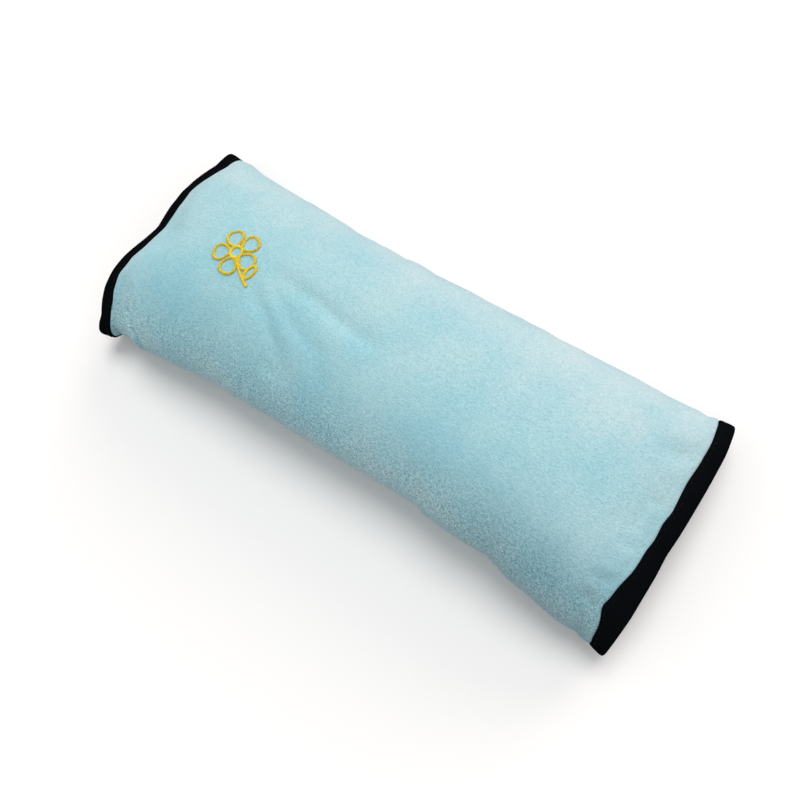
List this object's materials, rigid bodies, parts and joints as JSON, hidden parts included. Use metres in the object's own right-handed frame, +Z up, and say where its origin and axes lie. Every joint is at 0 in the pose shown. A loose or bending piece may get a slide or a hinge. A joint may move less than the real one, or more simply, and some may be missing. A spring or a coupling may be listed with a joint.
{
  "type": "seat belt shoulder pad",
  "caption": "Stuffed plush pad that wraps round a car seat belt at the shoulder, with bound ends, a lined belt channel and overlapping closing flaps.",
  "frame": {"origin": "centre of the flat underside, on the surface that the pad lies on", "axes": "+X along the belt, towards the end away from the embroidery; +Y across the belt, towards the edge that the lower flap hangs from; +Z up, out of the stuffed front"},
  "size_m": [0.2873, 0.114, 0.0606],
  "materials": {
    "plush": "short light blue plush pile with a soft sheen",
    "lining": "smooth light blue woven lining",
    "filling": "white polyester fibre",
    "binding": "matte black woven binding tape",
    "hook_tape": "black nylon hook tape",
    "loop_tape": "black brushed nylon loop tape",
    "embroidery": "glossy yellow rayon embroidery thread"
  },
  "bodies": {
    "root": {"plush_cover": "plush", "pocket_lining": "lining", "fibre_filling": "filling", "left_end_binding": "binding", "right_end_binding": "binding", "hook_tape": "hook_tape", "loop_tape": "loop_tape", "flower_embroidery": "embroidery"}
  },
  "joints": []
}
